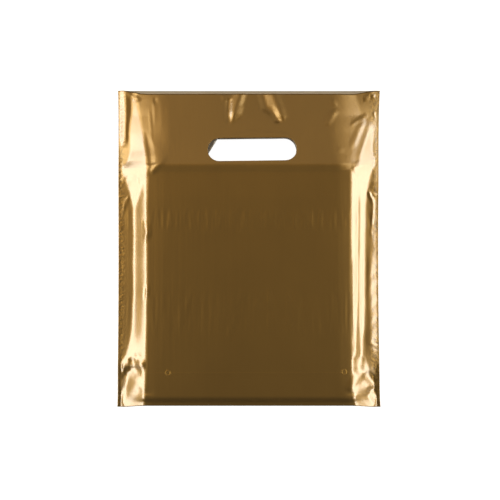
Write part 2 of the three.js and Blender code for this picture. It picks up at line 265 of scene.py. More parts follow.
LEFT_WALL = SideWall(
    flange=((0, 7, 0.36), (20, 7, 0.34), (45, 6.5, 0.26), (56, 4.5, 0.06), (70, 3.8, 0.03), (303, 3.8, 0.02)),
    foot=(
        (0, 13, 0.34), (23, 12.5, 0.3), (40, 9.8, 0.24), (58, 11.6, 0.2), (68, 9.5, 0.12), (75, 5.6, 0.08),
        (84, 5.4, 0.06), (97, 10.5, 0.12), (112, 14.6, 0.15), (200, 14.6, 0.15), (224, 13.6, 0.15),
        (243, 10.5, 0.13), (254, 7.1, 0.08), (270, 9, 0.12), (290, 8, 0.12), (303.4, 5, 0.1),
    ),
    edge=(
        (0, 18, 0.56), (20, 20.6, 0.62), (39, 24, 0.7), (56, 26.8, 0.82), (76.5, 29, 0.95), (88, 28.6, 0.95),
        (112, 27.6, 0.95), (236, 27.6, 0.95), (250, 28, 0.96), (272, 27, 0.97), (303.4, 26, 0.98),
    ),
    crown_at=((0, 46), (20, 49), (50, 50), (64, 46), (77, 42), (88, 45), (240, 45), (290, 38), (303.4, 32)),
    folds=(
        ((0, 0.3, 0), (84, 0.6, 0), (92, 0.66, -0.4), (104, 0.45, -0.3), (112, 0.22, -0.2), (230, 0.24, -0.2),
         (243, 0.4, 0), (303.4, 0.4, 0)),
        ((0, 0.5, 0), (84, 0.7, 0), (92, 0.74, -0.3), (104, 0.66, 0), (112, 0.7, 0.35), (228, 0.68, 0.35),
         (246, 0.6, 0), (303.4, 0.6, 0)),
        ((0, 0.7, 0), (84, 0.86, 0), (94, 0.88, 0.2), (112, 0.92, 0.17), (230, 0.92, 0.17), (246, 0.88, 0.2),
         (303.4, 0.86, 0.1)),
    ),
    seed=0.4,
)

RIGHT_WALL = SideWall(
    flange=((0, 3.6, 0.08), (85, 3.6, 0.08), (150, 6, 0.16), (166, 8.2, 0.26), (240, 8, 0.24), (266, 4, 0.02),
            (303.4, 3.8, 0.01)),
    foot=(
        (0, 6, 0.12), (36, 5.1, 0.12), (50, 6, 0.12), (62, 5, 0.09), (72, 4, 0.05), (83, 8.5, 0.12),
        (110, 12.4, 0.24), (200, 12.4, 0.3), (251, 14.4, 0.3), (274, 9.4, 0.14), (281, 5, 0.08),
        (290, 12, 0.2), (303.4, 5, 0.1),
    ),
    edge=(
        (0, 24, 0.42), (22, 17, 0.35), (34, 9.5, 0.28), (44, 12, 0.41), (54, 15.6, 0.53), (62, 18.2, 0.62),
        (72, 19.5, 0.68), (77, 27, 0.93), (90, 27, 0.92), (250, 27, 0.92), (281, 27.6, 0.95),
        (303.4, 24, 0.97),
    ),
    crown_at=((0, 45), (40, 47), (62, 44), (71, 40), (84, 40), (270, 40), (303.4, 30)),
    folds=(
        ((0, 0.2, 0), (90, 0.25, 0), (110, 0.3, -0.15), (200, 0.3, -0.25), (251, 0.25, -0.8), (262, 0.3, 0),
         (303.4, 0.3, 0)),
        ((0, 0.5, 0), (90, 0.55, 0), (110, 0.58, 0), (200, 0.58, 0.1), (251, 0.55, 0.2), (303.4, 0.5, 0)),
        ((0, 0.8, 0), (90, 0.86, 0.1), (110, 0.88, 0.1), (251, 0.88, 0.3), (303.4, 0.8, 0)),
    ),
    seed=3.1,
)


def creases(side: Side, *rows: Sequence) -> tuple[Crease, ...]:
    """The creases of one side, each from its line, rise, reach, head, tail and whether it is sharp."""
    return tuple(Crease(side, *row) for row in rows)


LEFT_CREASES = creases(
    Side.LEFT,
    (((3, 75), (16, 78.5), (31, 79)), 0.4, 8, 0, 4),
    (((5, 84), (13, 87.5), (22, 86)), -0.5, 7, 4, 4),
    (((15, 252), (13, 268)), -1.2, 7.5),
    (((26.5, 36), (30, 56), (32, 74)), -0.7, 6.5, 22, 4),
    (((33.8, 78), (40, 71), (48, 62)), 0.5, 4, 0, 12),
    (((23.8, 127), (30, 134.5), (24, 143)), 1.0, 3.2, 4, 4, True),
    (((22.5, 190.8), (32, 190.8)), 0.9, 3, 3, 3),
    (((26, 186), (25.5, 198)), -0.7, 2.4, 4, 4),
    (((4, 265.5), (11, 259), (20, 260.5), (27, 256.5)), 1.5, 8, 0, 5),
    (((17.2, 247), (20, 252.5), (22.6, 259)), -0.4, 4.5, 5, 3),
    (((9.8, 254), (16.4, 258.5), (19.9, 269)), -0.8, 5),
    (((4.6, 268.5), (14.5, 267), (24, 264)), -0.9, 7, 0, 4),
    (((2.5, 298), (13, 286), (22.5, 271)), 0.9, 9, 2, 8),
    (((17, 282.5), (24.5, 284)), -0.4, 5),
    (((10.4, 101), (6.5, 108), (3.8, 116)), 0.35, 2.4, 4, 0, True),
    (((8, 0.5), (15.7, 6.3), (23.3, 6.3)), 0.5, 4.5),
    (((35.5, 2), (36, 12)), -0.4, 3),
    (((35, 4), (36, 36)), 0.14, 3, 6, 16),
    (((41, 2), (42.5, 44)), 0.14, 3.4, 6, 18),
    (((30, 14), (33, 52)), 0.1, 2.6, 8, 12),
    (((22.5, 94), (19, 106), (16.5, 113)), -0.3, 5),
)

RIGHT_CREASES = creases(
    Side.RIGHT,
    (((12, 30), (18, 50), (24, 70)), -0.2, 6, 8, 4),
    (((3.5, 69), (14, 72.5), (26, 78)), 0.4, 8, 0, 3),
    (((20, 96), (20.4, 190), (23.4, 254)), 0.3, 3, 14, 10),
    (((24.6, 156), (24.6, 240)), 0.2, 2.2, 14, 14),
    (((16.4, 150), (16.4, 237)), 0.25, 2.4, 14, 14),
    (((27.6, 281.5), (22, 273), (17, 265.5)), 0.8, 7, 0, 6),
    (((21, 250), (20, 272)), -1.1, 7.5),
    (((3.5, 279.5), (9.5, 273.5), (16.5, 267)), -0.7, 6.5, 0, 5),
    (((3.6, 284.5), (14, 284.5)), -0.8, 6, 0, 5),
    (((3, 298), (16, 288), (27, 283.5)), 0.9, 9, 2, 6),
    (((10, 96), (8.2, 101), (4, 109)), 0.8, 2.4, 3, 0, True),
    (((9.8, 119), (4.8, 116), (6.7, 127)), 0.9, 2.4, 3, 3, True),
    (((8.6, 132), (5.4, 140)), 0.6, 2.2),
    (((48, 3), (44, 9), (41, 14)), 0.6, 3),
    (((28.6, 32.5), (20, 27), (13.5, 23.5)), 0.3, 4, 5, 0),
    (((14.6, 25.4), (19.3, 36.7), (27.8, 57.5)), 0.25, 5, 2, 8),
    (((15.2, 8.6), (9, 2), (3.8, 7.6)), 0.6, 3.6, 3, 3, True),
    (((41, 14), (46, 22), (52, 34)), 0.6, 4.5),
    (((33, 55), (42, 58.5)), 0.25, 6),
    (((5, 20), (2.8, 26)), 0.6, 2.2, 2, 0),
    (((69, 20), (71, 27)), 0.25, 1.8),
    (((74, 38), (75, 50)), 0.3, 2.2),
    (((66, 44), (67, 56)), 0.25, 2.2),
)

MIDDLE_CREASES = creases(
    Side.MIDDLE,
    (((-8.5, 1), (-13, 16), (-18, 33)), 2.1, 7.5, 0, 16),
    (((-20, 4), (-19.4, 16), (-18.4, 33)), -1.1, 4, 3, 10),
    (((-24, 2), (-21, 10.5)), 0.5, 2.6, 0, 5),
    (((-5.7, 10), (-10.4, 27)), 0.5, 3, 5, 8),
    (((12.3, 1), (16.1, 13.5), (22.4, 19), (30.4, 30)), -1.2, 6, 0, 5),
    (((24, 1), (29.4, 16), (32, 30)), 1.3, 7, 0, 8),
    (((0.9, 70.4), (2.8, 79)), 0.35, 2.6),
    (((-26, 46), (2.8, 39.5), (34.1, 42), (50, 58)), 0.2, 4, 12, 12),
    (((-9, 44), (-2, 52)), 0.25, 3),
)

# Each crimp: its side, the drops it runs from and to, its width, depth and pitch
CRIMPS = (
    Crimp(Side.LEFT, 2, 56, 8, 0.24, 3.1),
    Crimp(Side.LEFT, 60, 140, 4.5, 0.12, 5.1),
    Crimp(Side.LEFT, 262, 300, 4.5, 0.2, 3.7),
    Crimp(Side.RIGHT, 90, 160, 7, 0.18, 6.3),
    Crimp(Side.RIGHT, 158, 250, 11, 0.32, 5.4),
    Crimp(Side.RIGHT, 262, 300, 4.5, 0.16, 4.4),
)


@dataclass(frozen=True)
class PanelRipple:
    """One faint upright ripple in the flat panel: its place across, its two drops and its lean."""

    across: float
    top: float
    bottom: float
    lean: float = 0.0
    rise: float = 0.26
    reach: float = 1.7

    def crease(self) -> Crease:
        """The ripple as a shallow crease."""
        line = ((self.across, self.top), (self.across + self.lean, self.bottom))
        return Crease(Side.MIDDLE, line, self.rise, self.reach)


RIPPLES = tuple(PanelRipple(*row) for row in (
    (-56, 116, 126),
    (-43.5, 116, 124),
    (-33, 114, 126, 1.5),
    (-25.5, 116, 128),
    (-4, 114, 132, -1.5, 0.24),
    (12, 116, 128, 2.0),
    (27, 114, 129),
    (43, 115, 130, 0.6),
    (53.5, 112, 132, 0.8, 0.24),
    (68.5, 114, 132, -0.6, 0.2),
    (79, 118, 130),
    (-6, 188, 206, -3.0, 0.22),
    (-9, 206, 238, -12.0, 0.22),
    (-52, 186, 214, -9.0, 0.18, 2.6),
    (7, 198, 210, 0.8),
    (20, 186, 206, -0.8),
    (38, 188, 224, -1.2, 0.2),
    (-62, 200, 226, -4.0, 0.14, 3.0),
))


@dataclass(frozen=True)
class BagForm:
    """The bag's sizes as it lies, in millimetres, and the height of its walls at any place."""

    width: float = 250.6
    mouth_y: float = 151.7
    length: float = 301.0
    fullness: float = 26.0
    film: float = 0.24
    weld_width: float = 3.0
    gusset_depth: float = 38.0
    seam_bow_left: float = 1.6
    seam_bow_right: float = 2.8
    bow_power: float = 0.6
    seam_heights: Points = (
        (0, 2.6), (22, 3.6), (44, 6.4), (66, 10.6), (88, 14), (262, 14), (285, 10.6), (303.4, 8.2),
    )
    panel_drop: float = 79.0
    panel_end: float = 290.9
    mouth_height: float = 9.4
    mouth_sag: float = 3.7
    mouth_sag_run: float = 26.0
    bend_drop: float = 72.0
    lip_height: float = 22.8
    lip_root: float = 23.6
    lip_length: float = 4.6
    lip_sag: float = 2.5
    lip_rounding: float = 1.2
    bend_rounding: float = 1.2
    bend_dip: float = 0.28
    dip_run: float = 24.0
    shoulder_rounding: float = 9.0
    wall_blur: tuple[float, ...] = (-1.4, -0.7, 0, 0.7, 1.4)
    back_run: float = 30.0
    back_curl: float = 1.35
    back_lip: float = 1.0
    layer_pitch: float = 0.4
    turn_radius: float = 0.3
    clearance: float = 0.05
    crease_room: float = 0.4
    fold_margin: float = 3.0
    weld_fade: float = 1.5
    weld_overlap: float = 0.5

    @property
    def gusset_drop(self) -> float:
        """Drop of the gusset's inner fold."""
        return self.length - self.gusset_depth

    def bow(self, drop: Array) -> Array:
        """Share of the seams' bow at each drop."""
        return np.sin(np.pi * np.clip(drop / self.length, 0, 1)) ** self.bow_power

    def seam_x(self, side: Side, drop: Array) -> Array:
        """Where a seam runs across the bag.

        Args:
            side: the seam.
            drop: drop below the mouth.

        Returns:
            The place across the bag.
        """
        if side is Side.LEFT:
            return -self.width / 2 + self.seam_bow_left * self.bow(drop)
        return self.width / 2 - self.seam_bow_right * self.bow(drop)

    def inset(self, side: Side, x: Array, drop: Array) -> Array:
        """Distance from a seam, or the place across from the middle.

        Args:
            side: what the distance is from.
            x: place across the bag.
            drop: drop below the mouth.

        Returns:
            The distance at each place.
        """
        if side is Side.MIDDLE:
            return x
        if side is Side.LEFT:
            return x - self.seam_x(side, drop)
        return self.seam_x(side, drop) - x

    def nearest_inset(self, x: Array, drop: Array) -> Array:
        """Distance from the nearer seam."""
        return np.minimum(self.inset(Side.LEFT, x, drop), self.inset(Side.RIGHT, x, drop))

    def back_y(self, x: Array, drop: Array) -> Array:
        """Place along the bag of a point of the back wall.

        Args:
            x: place across the bag.
            drop: drop below the mouth.

        Returns:
            The place along the bag.
        """
        towards_middle = smooth((self.nearest_inset(x, drop) - self.weld_width) / self.mouth_sag_run)
        towards_fold = smooth((drop - self.panel_end) / (self.length - self.panel_end))
        return self.mouth_y - drop + self.lip_sag * towards_middle * towards_fold

    def front_y(self, x: Array, drop: Array) -> Array:
        """Place along the bag of a point of the front wall, whose mouth hangs back."""
        towards_middle = smooth((self.nearest_inset(x, drop) - self.weld_width) / self.mouth_sag_run)
        return self.back_y(x, drop) - self.mouth_sag * towards_middle * (1 - smooth(drop / self.panel_drop))

    def seam_height(self, drop: Array) -> Array:
        """Height of the side seams."""
        return line_at(self.seam_heights, drop)

    def crown_height(self, drop: Array, rounding: float) -> Array:
        """Height of the front wall along the middle of the bag.

        Args:
            drop: drop below the mouth.
            rounding: half the length of the bend's rounding.

        Returns:
            The height at each place.
        """
        top = self.fullness - self.film / 2 - self.clearance
        knots = (
            (0, self.mouth_height), (self.bend_drop, top + self.bend_dip),
            (self.panel_drop, top - self.bend_dip), (self.panel_drop + self.dip_run, top),
            (self.panel_end, top),
            (self.length - self.lip_length, self.lip_root), (self.length, self.lip_height),
        )
        radius = np.where(drop > self.panel_end - self.fold_margin, self.lip_rounding, rounding)
        sides = line_at(knots, drop - radius) + line_at(knots, drop + radius)
        return (sides + 2 * line_at(knots, drop)) / 4

    def wall_height(self, x: Array, drop: Array) -> Array:
        """Height of the front wall with its two side walls, before its creases.

        Args:
            x: place across the bag.
            drop: drop below the mouth.

        Returns:
            The height at each place.
        """
        seam = self.seam_height(drop) + self.film / 2
        crown = self.crown_height(drop, self.bend_rounding)
        shoulder = self.crown_height(drop, self.shoulder_rounding)
        halves = []
        for wall, side in ((LEFT_WALL, Side.LEFT), (RIGHT_WALL, Side.RIGHT)):
            inset = self.inset(side, x, drop)
            spread = [wall.height(inset + shift, drop, seam, crown, shoulder) for shift in self.wall_blur]
            halves.append(sum(spread) / len(spread))
        return np.minimum(*halves)

    def relief(self, x: Array, drop: Array) -> Array:
        """How far creases, crimps and ripples lift the front wall.

        Args:
            x: place across the bag.
            drop: drop below the mouth.

        Returns:
            The lift at each place.
        """
        clear = smooth((self.nearest_inset(x, drop) - self.weld_width) / self.weld_width)
        total = np.zeros(x.shape)
        ripples = [ripple.crease() for ripple in RIPPLES]
        for crease in (*LEFT_CREASES, *RIGHT_CREASES, *MIDDLE_CREASES, *ripples):
            total += crease.lift(self.inset(crease.side, x, drop), drop) * clear
        for crimp in CRIMPS:
            total += crimp.lift(self.inset(crimp.side, x, drop), drop)
        return total

    def front_height(self, x: Array, drop: Array) -> Array:
        """Height of the middle of the front wall's film."""
        return np.minimum(self.wall_height(x, drop) + self.relief(x, drop), self.fullness + self.crease_room)

    def back_height(self, x: Array, drop: Array) -> Array:
        """Height of the back wall: flat on the table, curled up to the seams and the bottom fold.

        Args:
            x: place across the bag.
            drop: drop below the mouth.

        Returns:
            The height at each place.
        """
        inset = self.nearest_inset(x, drop)
        seam = self.seam_height(drop) - self.film / 2
        rise = (1 - np.clip((inset - self.weld_width) / self.back_run, 0, 1)) ** self.back_curl
        fold = self.lip_height - Layer.BACK.value * self.layer_pitch
        lip_start = self.length - self.lip_length
        foot = line_at(((self.panel_end, 0), (lip_start, fold - self.back_lip), (self.length, fold)), drop)
        low = self.film / 2 + self.clearance
        return low + foot + rise * (seam - low - foot)

    def layer_height(self, x: Array, drop: Array, depth: Array) -> Array:
        """Height of one of the film's layers.

        Args:
            x: place across the bag.
            drop: drop below the mouth.
            depth: which layer, as a number between those of Layer where the film turns.

        Returns:
            The height at each place.
        """
        front = self.front_height(x, drop)
        back = self.back_height(x, drop)
        pitch = np.minimum(self.layer_pitch, (front - back) / Layer.BACK.value)
        loose = np.where(depth > BACK_FROM, back, front - depth * pitch)
        welded = self.seam_height(drop) + (Layer.BACK.value / 2 - depth) * self.film
        past_weld = self.nearest_inset(x, drop) - self.weld_width + self.weld_overlap
        past_fold = drop - self.gusset_drop + self.fold_margin
        beside_gusset = (1 - smooth(past_weld / self.weld_fade)) * smooth(past_fold / self.fold_margin)
        return loose + beside_gusset * (welded - loose)


@dataclass(frozen=True)
class Slot:
    """A punched hand slot, as the corners of its outline seen from above."""

    length: float = 84.0
    width: float = 21.8
    drop: float = 57.3
    offset: float = 3.1
    tilt: float = math.radians(0.7)
    arc_steps: int = 14
    fold_across: float = 0.0
    fold_down: float = 0.0
    arc_past_fold: float = 0.62
    margin: float = 3.2
    least_edge: float = 0.01
    cut_merge: float = 1e-4

    def outline(self, mouth_y: float) -> list[Vector]:
        """Corners of the slot, counter-clockwise.

        Args:
            mouth_y: where the mouth is along the bag.

        Returns:
            The corners in millimetres, at no height.
        """
        radius = self.width / 2
        straight = self.length / 2 - radius
        turns = [math.pi * (i / self.arc_steps - 0.5) for i in range(self.arc_steps + 1)]
        corners = [Vector((straight + radius * math.cos(t), radius * math.sin(t), 0)) for t in turns]
        left = -self.length / 2
        if self.fold_across:
            corners.append(Vector((left + self.fold_across, radius, 0)))
            corners.append(Vector((left, radius - self.fold_down, 0)))
            turns = [t for t in turns if math.sin(t) > self.arc_past_fold]
        corners += [Vector((-straight - radius * math.cos(t), -radius * math.sin(t), 0)) for t in turns]
        cos, sin = math.cos(self.tilt), math.sin(self.tilt)
        middle = mouth_y - self.drop
        return [
            Vector((c.x * cos - c.y * sin + self.offset, c.x * sin + c.y * cos + middle, 0)) for c in corners
        ]

    def punch(self, mesh: Sheet, mouth_y: float) -> None:
        """Cuts the slot out of a sheet.

        Args:
            mesh: the sheet, in millimetres.
            mouth_y: where the mouth is along the bag.
        """
        corners = self.outline(mouth_y)
        for start, end in zip(corners, corners[1:] + corners[:1]):
            run = end - start
            if run.length < self.least_edge:
                continue
            low_x, high_x = min(start.x, end.x) - self.margin, max(start.x, end.x) + self.margin
            low_y, high_y = min(start.y, end.y) - self.margin, max(start.y, end.y) + self.margin
            faces = [f for f in mesh.faces if low_x < f.calc_center_median().x < high_x
                     and low_y < f.calc_center_median().y < high_y]
            edges = {e for f in faces for e in f.edges}
            verts = {v for f in faces for v in f.verts}
            outwards = Vector((run.y, -run.x, 0)).normalized()
            bmesh.ops.bisect_plane(
                mesh, geom=[*faces, *edges, *verts], dist=self.cut_merge, plane_co=start, plane_no=outwards
            )
        inside = [f for f in mesh.faces if self.holds(f.calc_center_median(), corners)]
        bmesh.ops.delete(mesh, geom=inside, context="FACES")

    @staticmethod
    def holds(place: Vector, corners: list[Vector], slack: float = 1e-6) -> bool:
        """Tells whether a place is inside the slot's outline.

        Args:
            place: the place in millimetres.
            corners: the outline.
            slack: how far outside still counts.

        Returns:
            True if it is inside.
        """
        for start, end in zip(corners, corners[1:] + corners[:1]):
            run = end - start
            if run.x * (place.y - start.y) - run.y * (place.x - start.x) < -slack:
                return False
        return True


def sheet_mesh(columns: int, rows: int, place: Callable[[Array, Array], Array]) -> Sheet:
    """A flat grid moved to its places.

    Args:
        columns: faces across.
        rows: faces along.
        place: turns shares across and along into x, y, z in millimetres.

    Returns:
        The sheet.
    """
    mesh = bmesh.new()
    bmesh.ops.create_grid(mesh, x_segments=columns, y_segments=rows, size=0.5)
    shares = np.array([vertex.co[:2] for vertex in mesh.verts]) + 0.5
    for vertex, spot in zip(mesh.verts, place(shares[:, 0], shares[:, 1])):
        vertex.co = spot
    return mesh


def finish_sheet(
    name: str, mesh: Sheet, thickness: float, finishes: list[Material]
) -> bpy.types.Object:
    """Brings a sheet to metres and gives it its thickness and its two finishes.

    Args:
        name: the piece's name.
        mesh: the sheet in millimetres, whose faces look out of the bag.
        thickness: the film's thickness in millimetres.
        finishes: the outside and the inside finish.

    Returns:
        The finished piece.
    """
    bmesh.ops.scale(mesh, vec=(METRE, METRE, METRE), verts=mesh.verts)
    for face in mesh.faces:
        face.smooth = True
    data = bpy.data.meshes.new(name)
    mesh.to_mesh(data)
    mesh.free()
    for finish in finishes:
        data.materials.append(finish)
    piece = bpy.data.objects.new(name, data)
    bpy.context.scene.collection.objects.link(piece)
    wall = piece.modifiers.new("film", "SOLIDIFY")
    wall.thickness = thickness * METRE
    wall.offset = 0
    wall.use_even_offset = False
    wall.material_offset = 1
    wall.material_offset_rim = 0
    return piece


@dataclass(frozen=True)
class FrontWall:
    """The front of the bag, from its mouth to just round its bottom fold.

    across holds (share of the sheet's columns, share of the bag's width), and down holds (share of its rows,
    millimetres down the film). Both are finer where the film creases.
    """

    form: BagForm
    slot: Slot = field(default_factory=Slot)
    columns: int = 222
    rows: int = 212
    across: Points = ((0, 0), (0.31, 0.144), (0.71, 0.872), (1, 1))
    down: Points = (
        (0, 0), (0.21, 52), (0.26, 63), (0.38, 80), (0.49, 105), (0.68, 240), (0.97, 301), (1, 303.6),
    )

    def place(self, across: Array, along: Array) -> Array:
        """Places the sheet's points.

        Args:
            across: share of the way from the left seam to the right one.
            along: share of the way from the foot up to the mouth.

        Returns:
            An array of x, y, z rows in millimetres.
        """
        form = self.form
        path = line_at(self.down, 1 - along)
        past = np.maximum(path - form.length, 0)
        half_turn = math.pi * form.turn_radius
        angle = np.minimum(past / form.turn_radius, math.pi)
        drop = np.where(past > half_turn, form.length - (past - half_turn), np.minimum(path, form.length))
        left = form.seam_x(Side.LEFT, drop)
        right = form.seam_x(Side.RIGHT, drop)
        x = left + line_at(self.across, across) * (right - left)
        y = form.front_y(x, drop) - form.turn_radius * np.sin(angle)
        depth = np.full(x.shape, Layer.FRONT.value)
        z = form.layer_height(x, drop, depth) - form.turn_radius * (1 - np.cos(angle))
        return np.column_stack((x, y, z))

    def build(self, finishes: list[Material]) -> bpy.types.Object:
        """Builds the front wall with its slot.

        Args:
            finishes: the outside and the inside finish.

        Returns:
            The finished piece.
        """
        mesh = sheet_mesh(self.columns, self.rows, self.place)
        self.slot.punch(mesh, self.form.mouth_y)
        return finish_sheet("front_wall", mesh, self.form.film, finishes)


@dataclass(frozen=True)
class BackWall:
    """The gusset, folded flat under the front wall, and the back of the bag up to its mouth.

    turns holds the shares of the sheet at which each of its two folds starts and ends.
    """

    form: BagForm
    slot: Slot = field(default_factory=lambda: Slot(width=22.7, fold_across=8.6, fold_down=13.6))
    columns: int = 130
    rows: int = 170
    overlap: float = 2.0
    across: Points = ((0, 0), (0.25, 0.144), (0.75, 0.872), (1, 1))
    turns: tuple[Pair, ...] = ((0.16, 0.18), (0.36, 0.38))

    def place(self, across: Array, along: Array) -> Array:
        """Places the sheet's points.

        Args:
            across: share of the way from the left seam to the right one.
            along: share of the way along the film, from the mouth to the gusset's upper edge.

        Returns:
            An array of x, y, z rows in millimetres.
        """
        form = self.form
        (in_from, in_to), (foot_from, foot_to) = self.turns
        upper, lower, back = Layer.GUSSET_FRONT.value, Layer.GUSSET_BACK.value, Layer.BACK.value
        stops = (
            (0, form.length - self.overlap, upper),
            (in_from, form.gusset_drop, upper), (in_to, form.gusset_drop, lower),
            (foot_from, form.length, lower), (foot_to, form.length, back),
            (1, 0, back),
        )
        drop = line_at(stops, 1 - along)
        depth = line_at(stops, 1 - along, 2)
        left = form.seam_x(Side.LEFT, drop)
        right = form.seam_x(Side.RIGHT, drop)
        x = left + line_at(self.across, across) * (right - left)
        y = np.where(depth < BACK_FROM, form.front_y(x, drop), form.back_y(x, drop))
        z = form.layer_height(x, drop, depth)
        return np.column_stack((x, y, z))

    def build(self, finishes: list[Material]) -> bpy.types.Object:
        """Builds the gusset and the back wall with its slot.

        Args:
            finishes: the outside and the inside finish.

        Returns:
            The finished piece.
        """
        mesh = sheet_mesh(self.columns, self.rows, self.place)
        self.slot.punch(mesh, self.form.mouth_y)
        return finish_sheet("back_wall", mesh, self.form.film, finishes)


def set_inputs(node: bpy.types.Node, values: dict[str, float | Sequence[float]]) -> None:
    """Sets a node's inputs by their names."""
    for name, value in values.items():
        node.inputs[name].default_value = value


@dataclass(frozen=True)
class GroupNodes:
    """Adds nodes to one node group, and measures on the object's own coordinates in metres."""

    group: bpy.types.NodeTree
    coords: Socket

    def step(self, operation: str, *values: Socket | float) -> Socket:
        """One step of arithmetic.

        Args:
            operation: the Math node's operation.
            values: sockets or numbers, in the node's order.

        Returns:
            The result.
        """
        node = self.group.nodes.new("ShaderNodeMath")
        node.operation = operation
        for socket, value in zip(node.inputs, values):
            if isinstance(value, Socket):
                self.group.links.new(value, socket)
            else:
                socket.default_value = value
        return node.outputs[0]

    def noise(self, scale: Triple, detail: float) -> Socket:
        """Noise around zero.

        Args:
            scale: waves a metre along each axis.
            detail: how many finer layers it has.

        Returns:
            The noise, from -0.5 to 0.5.
        """
        mapping = self.group.nodes.new("ShaderNodeMapping")
        set_inputs(mapping, {"Scale": scale})
        texture = self.group.nodes.new("ShaderNodeTexNoise")
        set_inputs(texture, {"Scale": 1, "Detail": detail})
        self.group.links.new(self.coords, mapping.inputs["Vector"])
        self.group.links.new(mapping.outputs["Vector"], texture.inputs["Vector"])
        return self.step("SUBTRACT", texture.outputs["Fac"], 0.5)

    def away(self, place: Triple, axes: Triple) -> Socket:
        """Distance from a place.

        Args:
            place: the place in metres.
            axes: 1 for each axis that counts, and 0 for the others.

        Returns:
            The distance in metres.
        """
        flat = self.group.nodes.new("ShaderNodeVectorMath")
        flat.operation = "MULTIPLY"
        flat.inputs[1].default_value = axes
        self.group.links.new(self.coords, flat.inputs[0])
        distance = self.group.nodes.new("ShaderNodeVectorMath")
        distance.operation = "DISTANCE"
        distance.inputs[1].default_value = place
        self.group.links.new(flat.outputs["Vector"], distance.inputs[0])
        return distance.outputs["Value"]

    def within(self, distance: Socket, reach: float, fade: float) -> Socket:
        """A mask of what is near.

        Args:
            distance: the distance to test.
            reach: how far the mask is 1.
            fade: the length over which it then falls to 0.

        Returns:
            The mask.
        """
        node = self.group.nodes.new("ShaderNodeMapRange")
        node.interpolation_type = "SMOOTHSTEP"
        set_inputs(node, {"From Min": reach, "From Max": reach + fade, "To Min": 1, "To Max": 0})
        self.group.links.new(distance, node.inputs["Value"])
        return node.outputs["Result"]

    def total(self, *values: Socket | float) -> Socket:
        """Sum of any number of values.

        Args:
            values: sockets or numbers, the first a socket.

        Returns:
            The sum.
        """
        result = values[0]
        for value in values[1:]:
            result = self.step("ADD", result, value)
        return result


@dataclass(frozen=True)
class FilmGrain:
    """Blown film's own marks: cloudy tone, pearl flecks, faint lines, ripples and puckers.

    It also draws the two vents and the gusset's line. Places are in metres across and along the bag.
    """

    cloud_waves: Triple = (22, 15, 22)
    fleck_waves: Triple = (1500, 1500, 1500)
    line_waves: Triple = (230, 9, 230)
    ripple_waves: Triple = (190, 24, 190)
    ripple_bands: tuple[Triple, ...] = ((0.0285, 0.004, 1.0), (-0.06, 0.014, 0.6))
    ripple_fade: float = 0.009
    ripple_depth: float = 5.0
    pucker_waves: Triple = (260, 420, 150)
    pucker_middle: float = -0.0015
    pucker_from: float = 0.114
    pucker_fade: float = 0.006
    pucker_depth: float = 6.5
    vents: tuple[Pair, ...] = ((-0.076, -0.1159), (0.0892, -0.115))
    vent_radius: float = 0.0022
    vent_line: float = 0.0002
    gusset_y: float = -0.1159
    mark_fade: float = 0.0005
    vent_tone: float = 0.24
    gusset_tone: float = 0.07

    def vent(self, nodes: GroupNodes, x: float, y: float) -> Socket:
        """One vent's ring.

        Args:
            nodes: the group's nodes.
            x: place across the bag in metres.
            y: place along the bag in metres.

        Returns:
            The ring's mask.
        """
        away = nodes.away((x, y, 0), (1, 1, 0))
        off_ring = nodes.step("ABSOLUTE", nodes.step("SUBTRACT", away, self.vent_radius))
        return nodes.within(off_ring, self.vent_line, self.mark_fade)

    def ripples(self, nodes: GroupNodes) -> Socket:
        """Upright ripples in the panel's two rippled bands.

        Args:
            nodes: the group's nodes.

        Returns:
            Their height.
        """
        bands = []
        for middle, reach, strength in self.ripple_bands:
            band = nodes.within(nodes.away((0, middle, 0), (0, 1, 0)), reach, self.ripple_fade)
            bands.append(nodes.step("MULTIPLY", band, strength * self.ripple_depth))
        return nodes.step("MULTIPLY", nodes.noise(self.ripple_waves, 1), nodes.total(*bands))

    def puckers(self, nodes: GroupNodes) -> Socket:
        """Fine puckers beside the two seams.

        Args:
            nodes: the group's nodes.

        Returns:
            Their height.
        """
        off_middle = nodes.away((self.pucker_middle, 0, 0), (1, 0, 0))
        inner = nodes.within(off_middle, self.pucker_from, self.pucker_fade)
        outer = nodes.step("MULTIPLY", nodes.step("SUBTRACT", 1.0, inner), self.pucker_depth)
        return nodes.step("MULTIPLY", nodes.noise(self.pucker_waves, 2), outer)

    def build(self) -> bpy.types.NodeTree:
        """Builds the node group.

        Returns:
            The group, with inputs Cloud, Fleck, Line and Mark and outputs Tone and Height.
        """
        group = bpy.data.node_groups.new("film grain", "ShaderNodeTree")
        for name in ("Cloud", "Fleck", "Line", "Mark"):
            group.interface.new_socket(name, in_out="INPUT", socket_type="NodeSocketFloat")
        for name in ("Tone", "Height"):
            group.interface.new_socket(name, in_out="OUTPUT", socket_type="NodeSocketFloat")
        source = group.nodes.new("NodeGroupInput")
        result = group.nodes.new("NodeGroupOutput")
        nodes = GroupNodes(group, group.nodes.new("ShaderNodeTexCoord").outputs["Object"])
        cloud = nodes.step("MULTIPLY", nodes.noise(self.cloud_waves, 2), source.outputs["Cloud"])
        fleck = nodes.step("MULTIPLY", nodes.noise(self.fleck_waves, 1), source.outputs["Fleck"])
        waves = nodes.total(nodes.noise(self.line_waves, 2), self.ripples(nodes), self.puckers(nodes))
        line = nodes.step("MULTIPLY", waves, source.outputs["Line"])
        rings = nodes.total(*[self.vent(nodes, x, y) for x, y in self.vents])
        fold = nodes.within(nodes.away((0, self.gusset_y, 0), (0, 1, 0)), 0, self.mark_fade)
        vents = nodes.step("MULTIPLY", rings, self.vent_tone)
        gusset = nodes.step("MULTIPLY", fold, self.gusset_tone)
        marked = nodes.step("MULTIPLY", nodes.total(vents, gusset), source.outputs["Mark"])
        group.links.new(nodes.total(cloud, fleck, marked, 1.0), result.inputs["Tone"])
        group.links.new(nodes.total(cloud, line, marked), result.inputs["Height"])
        return group


